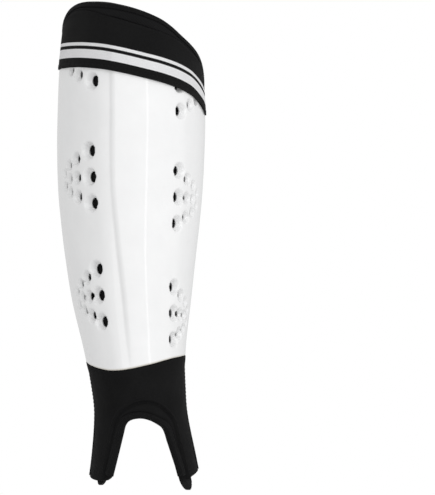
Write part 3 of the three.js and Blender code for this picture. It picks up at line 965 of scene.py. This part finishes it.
# Ankle sock: 4.5 mm neoprene, sewn behind the shell's bottom edge. Below it divides into two stirrup legs
# round an arch. A raised seam follows the arch and runs down both legs.
SOCK_WALL = 4.5
SOCK_FACE = -0.6
SOCK_BACK = SOCK_FACE - SOCK_WALL
SOCK_ROUND = 0.45
SOCK_UNEVEN = 0.35
SOCK_UNEVEN_LENGTH = 18
JERSEY_RIB = 0.8
TONGUE_BACK = LINER_FACE - SOCK_WALL
TONGUE_STEP = 0.2
TONGUE_ROWS = 3
JOG_DROP = 1
JOG_RUN = 5
NEAR_TOP = 0.01
SOCK_TAPE = 4
TAPE_PRESS = 1.0
PRESS_EDGE = 0.4
SOCK_COLUMNS = 170
SOCK_ROWS = [20, 26]
SEAM_STRIP = 18
STRIP_RISE = 0.6
STRIP_START = 0.5
STRIP_SHORT = 2
TAPE_GROOVE = SoftLine(SOCK_TAPE + 0.6, -0.5, 0.7)
SEAM_VALLEY = SoftLine(-2.2, -1.3, 1.1)
SEAM_RIDGE = SoftLine(0, 1.7, 1.1)
SHELL_SWELL = SoftLine(2, 0.8, 7)
CORNER_SHARE = 0.34
LEG_END = 1.7
LEG_END_SHARE = 0.2
ARCH_STEPS = 12
ARCH_REACH = 0.025
SOCK_BOTTOM = [
    Edge(-1.78, -208.8), Edge(-1.27, -213.2), Edge(-0.9, -213.5), Edge(-0.65, -210), Edge(0.65, -210),
    Edge(0.9, -213), Edge(1.2, -209.8), Edge(1.78, -203.5),
]
sock_bottom_at = through(SOCK_BOTTOM, "girth", "z")

# The arch from the front, from the left leg to the right: each point is reached straight, or by a curve
# that a pull point draws towards itself.
Turn = namedtuple("Turn", "point pull")
ARCH = [
    Turn((-18.5, -210), None), Turn((-8.2, -171.5), None), Turn((8, -161.5), (-5.4, -161.8)),
    Turn((21.4, -165), (14.2, -161.5)), Turn((27.2, -167.6), None), Turn((34, -179), (31.8, -169.8)),
    Turn((41.8, -201.5), None), Turn((44.2, -210), None),
]

# How far the raised seam runs from the arch's edge, along the arch.
Seam = namedtuple("Seam", "share reach")
SEAM = [
    Seam(0, 8.3), Seam(0.3, 9), Seam(0.4, 10), Seam(0.52, 15), Seam(0.6, 15), Seam(0.74, 10), Seam(1, 8),
]
seam_reach_at = through(SEAM, "share", "reach")


def flat_of(point):
    """The flat place of a point that is seen from the front."""
    x, z = point
    return Vector((girth_seen((x - middle_at(z)) / half_at(z)) * half_at(z), 0, z))


def arch_route():
    """Close flat points along the arch's edge."""
    points = [Vector(ARCH[0].point)]
    for turn in ARCH[1:]:
        start = points[-1]
        end = Vector(turn.point)
        pull = Vector(turn.pull) if turn.pull else (start + end) / 2
        for step in range(1, ARCH_STEPS + 1):
            share = step / ARCH_STEPS
            points.append(start.lerp(pull, share).lerp(pull.lerp(end, share), share))
    return [flat_of(point) for point in points]


ARCH_ROUTE = arch_route()
ARCH_LENGTHS = [0]
for start, end in zip(ARCH_ROUTE, ARCH_ROUTE[1:]):
    ARCH_LENGTHS.append(ARCH_LENGTHS[-1] + (end - start).length)


def arch_place(share):
    length = clamp(share) * ARCH_LENGTHS[-1]
    step = min(max(bisect.bisect_left(ARCH_LENGTHS, length), 1), len(ARCH_LENGTHS) - 1)
    before = ARCH_LENGTHS[step - 1]
    return ARCH_ROUTE[step - 1].lerp(ARCH_ROUTE[step], (length - before) / (ARCH_LENGTHS[step] - before))


def arch_edge(share):
    """The arch's edge at a share of its length, and the way into the sock from it."""
    along = (arch_place(share + ARCH_REACH) - arch_place(share - ARCH_REACH)).normalized()
    return arch_place(share), Vector((-along.z, 0, along.x))


def rear_point(side, z):
    return Vector((side * rear_girth_at(z) * half_at(z), 0, z))


def sock_top_at(girth):
    return shell_bottom_at(girth) - SEAM_GAP


def sock_outer_edge(share):
    """The sock's other edge: up one rear edge, along under the shell, and down the other rear edge."""
    rear = rear_girth_at(shell_bottom_at(0))
    if share < CORNER_SHARE:
        return rear_point(-1, mix(sock_bottom_at(-LEG_END), sock_top_at(-rear), share / CORNER_SHARE))
    if share > 1 - CORNER_SHARE:
        return rear_point(1, mix(sock_bottom_at(LEG_END), sock_top_at(rear), (1 - share) / CORNER_SHARE))
    girth = mix(-rear, rear, (share - CORNER_SHARE) / (1 - 2 * CORNER_SHARE))
    z = sock_top_at(girth)
    return Vector((girth * half_at(z), 0, z))


def sock_ray(share, out):
    """A flat place on the sock: out runs from the arch's edge, through its seam strip, to the other edge."""
    edge, inward = arch_edge(share)
    reach = between([0, SEAM_STRIP, SEAM_STRIP + 1], SOCK_ROWS, out)
    if reach <= SEAM_STRIP:
        return edge + inward * reach, reach
    return (edge + inward * SEAM_STRIP).lerp(sock_outer_edge(share), reach - SEAM_STRIP), SEAM_STRIP


def sock_relief(share, reach, place):
    """How far the face stands out: binding groove, padded strip, raised seam, and soft unevenness."""
    seam = seam_reach_at(share)
    side_in = rear_girth_at(place.z) * half_at(place.z) - abs(place.x)
    from_tape = min(reach, side_in) - SOCK_TAPE
    pressed = -TAPE_PRESS * (1 - ease((from_tape + PRESS_EDGE) / (2 * PRESS_EDGE)))
    groove = soft_line(TAPE_GROOVE, reach)
    strip_share = clamp((reach - SOCK_TAPE - STRIP_START) / (seam - SOCK_TAPE - STRIP_SHORT))
    strip = STRIP_RISE * math.sin(math.pi * strip_share)
    raised = soft_line(SEAM_VALLEY, reach - seam) + soft_line(SEAM_RIDGE, reach - seam)
    below_shell = sock_top_at(flat_girth(place)) - place.z
    swell = soft_line(SHELL_SWELL, below_shell)
    uneven = SOCK_UNEVEN * soft_noise(place.x, place.z, SOCK_UNEVEN_LENGTH, seed=9)
    return pressed + groove + strip + raised + swell + uneven


def sock_place(across, up):
    place, reach = sock_ray(across, up)
    end = sock_ray(0 if across < 0.5 else 1, up)[0]
    nearness = clamp(1 - min(across, 1 - across) / LEG_END_SHARE)
    place.z += (sock_bottom_at(flat_girth(end)) - end.z) * nearness ** 2
    return place.x, SOCK_FACE + sock_relief(across, reach, place), place.z


def sock_back(round_leg, z):
    """The sock's inner face, which steps in to pass behind the shell."""
    below = sock_top_at(round_leg / half_at(z)) - z
    return mix(TONGUE_BACK, SOCK_BACK, ease((below - JOG_DROP) / JOG_RUN))


def at_sock_top(flat):
    return flat.z > sock_top_at(flat_girth(flat)) - NEAR_TOP


def make_sock():
    sock = flat_grid(SOCK_COLUMNS, sum(SOCK_ROWS), sock_place)
    top = [edge for edge in sock.edges
           if edge.is_boundary and all(at_sock_top(vert.co) for vert in edge.verts)]
    under_shell = {vert for edge in top for vert in edge.verts}
    outline = open_outline(sock) - under_shell
    for climb in [TONGUE_STEP] + [TONGUE / TONGUE_ROWS] * TONGUE_ROWS:
        grown = bmesh.ops.extrude_edge_only(sock, edges=top)["geom"]
        for vert in [part for part in grown if isinstance(part, bmesh.types.BMVert)]:
            vert.co.y = -LINER_FACE
            vert.co.z += climb
        top = [part for part in grown if isinstance(part, bmesh.types.BMEdge)
               and all(vert in grown for vert in part.verts)]
    area = sum(face.calc_area() for face in sock.faces) * MM * MM
    give_wall(sock, sock_back, outline, SOCK_ROUND)
    wrap(sock)
    return sock, area


def neoprene():
    """Black neoprene faced with fine dull jersey: faint ribs and uneven dye."""
    finish = Finish("neoprene")
    round_leg, up = finish.pattern()
    ribs = round_leg.wave(JERSEY_RIB) * 0.6 + up.wave(JERSEY_RIB) * 0.4
    fleck = finish.cloud(finish.places(), 700)
    drift = finish.cloud(finish.places(), 45)
    finish.surface({
        "Base Color": finish.ramp(0.28 + 0.08 * ribs + 0.4 * fleck + 0.45 * drift,
                                  [(0.2, (0.003, 0.003, 0.0031)), (1.0, (0.012, 0.012, 0.0122))]),
        "Roughness": 0.74 - 0.12 * drift,
        "Specular IOR Level": 0.03,
        "Normal": finish.bump(ribs * 0.5 + fleck * 0.6, 0.4, 0.0003),
    })
    return finish.material


sock_relief_mesh, sock_area = make_sock()
ankle_sock = finish_piece("ankle_sock_neoprene", sock_relief_mesh, neoprene(), ["ankle_sock"])

# Sock bindings: the same woven tape, folded over the arch's edge and over both rear edges and sewn with
# one row of thread.
REAR_TAPE_DROP = 6
REAR_TAPE_LIFT = 0.2
SHELL_CORNER = -115
SOCK_STITCHING = 2.6


def rear_edge(side):
    """A rear edge of the sock, from its leg's end to the shell."""
    low = sock_bottom_at(side * LEG_END) + REAR_TAPE_LIFT
    high = shell_bottom_at(side * rear_girth_at(SHELL_CORNER)) - REAR_TAPE_DROP

    def edge_at(share):
        return rear_point(side, mix(low, high, share)), Vector((-side, 0, 0))

    return edge_at


PRESSED_FACE = SOCK_FACE - TAPE_PRESS
TAPE_FACE = PRESSED_FACE + SEAM_GAP + TAPE_WALL
sock_thread = bmesh.new()
for name, node, edge_at, columns, length in (
    ("arch_binding", "arch_tape", arch_edge, 120, 0.135),
    ("rear_binding_left", "rear_tape_left", rear_edge(-1), 60, 0.088),
    ("rear_binding_right", "rear_tape_right", rear_edge(1), 60, 0.088),
):
    sheet = tape_sheet(columns, SOCK_TAPE, PRESSED_FACE, SOCK_BACK, edge_at)
    wrap(sheet)
    binding = finish_piece(name, sheet, tape_finish, [node])
    add_stitches(sock_thread, stitch_route(edge_at, SOCK_STITCHING, TAPE_FACE))
wrap(sock_thread)
sock_stitches = finish_piece("sock_stitches", sock_thread, thread_finish, [])

# Strap tabs: short ends of ribbed elastic, sewn inside the stirrup legs, where the strap under the foot
# is fastened.
Tab = namedtuple("Tab", "node angle end")
TABS = [Tab("strap_tab_left", -70, -217.5), Tab("strap_tab_right", 67, -221.5)]
TAB_ROOT = -194
TAB_HALF = 12.5
TAB_CORNER = 12
TAB_WALL = 2
TAB_GAP = 1.6
TAB_FACE = SOCK_BACK - TAB_GAP
TAB_ROUND = 0.5
TAB_RIB = 1.8
TAB_RIB_RISE = 0.14
TAB_WEFT = 0.7
TAB_COLUMNS = 60
TAB_ROWS = 40
TAB_CROWD = 1.4


def make_tab(tab):
    def place(across, up):
        z = mix(tab.end, TAB_ROOT, up ** TAB_CROWD)
        rounding = TAB_CORNER - math.sqrt(TAB_CORNER ** 2 - max(TAB_CORNER - (z - tab.end), 0) ** 2)
        beside = (2 * across - 1) * (TAB_HALF - rounding)
        rib = TAB_RIB_RISE * math.sin(beside * CYCLE / TAB_RIB)
        return girth_of(tab.angle) * half_at(z) + beside, TAB_FACE + rib, z

    webbing = flat_grid(TAB_COLUMNS, TAB_ROWS, place)
    give_wall(webbing, lambda round_leg, z: TAB_FACE - TAB_WALL, open_outline(webbing), TAB_ROUND)
    wrap(webbing)
    return webbing


def elastic_webbing():
    """Black elastic: covered rubber ribs along the strap, crossed by fine weft."""
    finish = Finish("elastic_webbing")
    across, along = finish.pattern()
    ribs = across.wave(TAB_RIB)
    weft = along.wave(TAB_WEFT)
    fleck = finish.cloud(finish.places(), 900)
    finish.cloth({
        "Base Color": finish.ramp(0.35 + 0.15 * ribs + 0.1 * weft + 0.4 * fleck,
                                  [(0.2, (0.003, 0.003, 0.0031)), (0.95, (0.018, 0.018, 0.0185))]),
        "Roughness": 0.72 - 0.1 * fleck,
        "Specular IOR Level": 0.08,
        "Normal": finish.bump(ribs * 0.4 + weft * 0.5, 0.5, 0.0003),
    })
    return finish.material


tab_finish = elastic_webbing()
for tab in TABS:
    strap_tab = finish_piece(tab.node + "_webbing", make_tab(tab), tab_finish, [tab.node])
    (TAB_ROOT - tab.end) * MM

# View and light: the camera stands far off on the front's level, as a long lens sees the guard. A white
# room, a large soft light in front, a strip and a weak fill on the right and a pale floor light it evenly.
PIXEL = 0.82 * MM
FRAME_WIDE = 435
FRAME_TALL = 495
CENTRE_PIXEL = (FRAME_WIDE / 2, FRAME_TALL / 2)
ORIGIN_PIXEL = (130, 220)
CAMERA_AWAY = 15.0
SENSOR = 36

camera_data = bpy.data.cameras.new("camera")
camera_data.sensor_fit = "VERTICAL"
camera_data.sensor_height = SENSOR
camera_data.lens = SENSOR * CAMERA_AWAY / (FRAME_TALL * PIXEL)
camera = bpy.data.objects.new("camera", camera_data)
camera.location = (
    (CENTRE_PIXEL[0] - ORIGIN_PIXEL[0]) * PIXEL,
    -CAMERA_AWAY,
    (ORIGIN_PIXEL[1] - CENTRE_PIXEL[1]) * PIXEL,
)
camera.rotation_euler = (math.radians(90), 0, 0)
bpy.context.scene.collection.objects.link(camera)
bpy.context.scene.camera = camera
bpy.context.scene.view_settings.view_transform = "Standard"

FLOOR_DROP = 0.3
FLOOR_RADIUS = 0.62
FLOOR_SIDES = 96
floor_mesh = bpy.data.meshes.new("floor")
floor_form = bmesh.new()
bmesh.ops.create_circle(floor_form, cap_ends=True, segments=FLOOR_SIDES, radius=FLOOR_RADIUS)
bmesh.ops.translate(floor_form, verts=floor_form.verts[:], vec=(0, 0, -FLOOR_DROP))
floor_form.to_mesh(floor_mesh)
floor_form.free()
floor = bpy.data.objects.new("floor", floor_mesh)
bpy.context.scene.collection.objects.link(floor)
floor_finish = Finish("pale_floor")
floor_finish.surface({
    "Base Color": floor_finish.ramp(floor_finish.cloud(floor_finish.places(), 9),
                                    [(0.3, (0.82, 0.82, 0.82)), (0.7, (0.86, 0.86, 0.86))]),
    "Roughness": 0.9,
})
floor_mesh.materials.append(floor_finish.material)

ROOM_LIGHT = 0.7
world = bpy.data.worlds.new("white_room")
world.use_nodes = True
room = world.node_tree
background = room.nodes["Background"]
background.inputs["Color"].default_value = (1, 1, 1, 1)
light_path = room.nodes.new("ShaderNodeLightPath")
level = room.nodes.new("ShaderNodeMapRange")
level.inputs["To Min"].default_value = ROOM_LIGHT
level.inputs["To Max"].default_value = 1.0
room.links.new(light_path.outputs["Is Camera Ray"], level.inputs["Value"])
room.links.new(level.outputs["Result"], background.inputs["Strength"])
bpy.context.scene.world = world


def soft_light(name, azimuth, height, away, size, power):
    """A rectangular light that faces the guard, so many degrees round to the right of the front."""
    lamp = bpy.data.lights.new(name, "AREA")
    lamp.shape = "RECTANGLE"
    lamp.size, lamp.size_y = size
    lamp.energy = power
    light = bpy.data.objects.new(name, lamp)
    turn = math.radians(azimuth)
    light.location = (away * math.sin(turn), -away * math.cos(turn), height)
    light.rotation_euler = (-light.location).to_track_quat("-Z", "Y").to_euler()
    bpy.context.scene.collection.objects.link(light)


soft_light("wall_of_light", azimuth=2, height=0.8, away=2.0, size=(2.6, 2.2), power=11.5)
soft_light("strip", azimuth=37, height=0.1, away=2.0, size=(0.7, 2.2), power=7.5)
soft_light("side_fill", azimuth=78, height=0.4, away=2.0, size=(2.4, 2.2), power=5)
